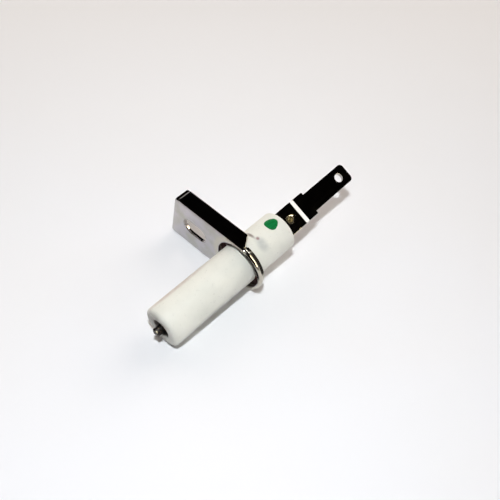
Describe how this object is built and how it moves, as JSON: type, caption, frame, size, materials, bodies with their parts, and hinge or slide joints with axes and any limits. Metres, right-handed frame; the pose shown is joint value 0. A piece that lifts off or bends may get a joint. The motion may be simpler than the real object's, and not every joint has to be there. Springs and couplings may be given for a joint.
{
  "type": "ignition electrode",
  "caption": "Spark ignition electrode: white ceramic bar with a metal rod, a slotted plated bracket with a folded flange, and a flat spade terminal.",
  "frame": {"origin": "centre of the bracket's fixing slot on the plate's front face, which faces the spark tip", "axes": "+X along the ceramic from the spark tip to the terminal, +Y along the bracket's arm away from the ceramic, +Z towards the bracket's folded flange"},
  "size_m": [0.0351, 0.0167, 0.0078],
  "materials": {
    "ceramic": "matt, slightly off-white, unglazed",
    "rod_steel": "dark heat-resisting steel",
    "cement": "rough dark cement",
    "plated_steel": "bright nickel plating",
    "terminal_steel": "bright nickel plating",
    "braze": "dull brass-coloured braze",
    "green_paint": "matt green marking paint"
  },
  "bodies": {
    "root": {"ceramic_insulator": "ceramic", "electrode_rod": "rod_steel", "front_cement_plug": "cement", "rear_cement_plug": "cement", "mounting_bracket": "plated_steel", "clip_ring": "plated_steel", "spade_terminal": "terminal_steel", "terminal_weld": "braze", "identification_dot": "green_paint"}
  },
  "joints": []
}
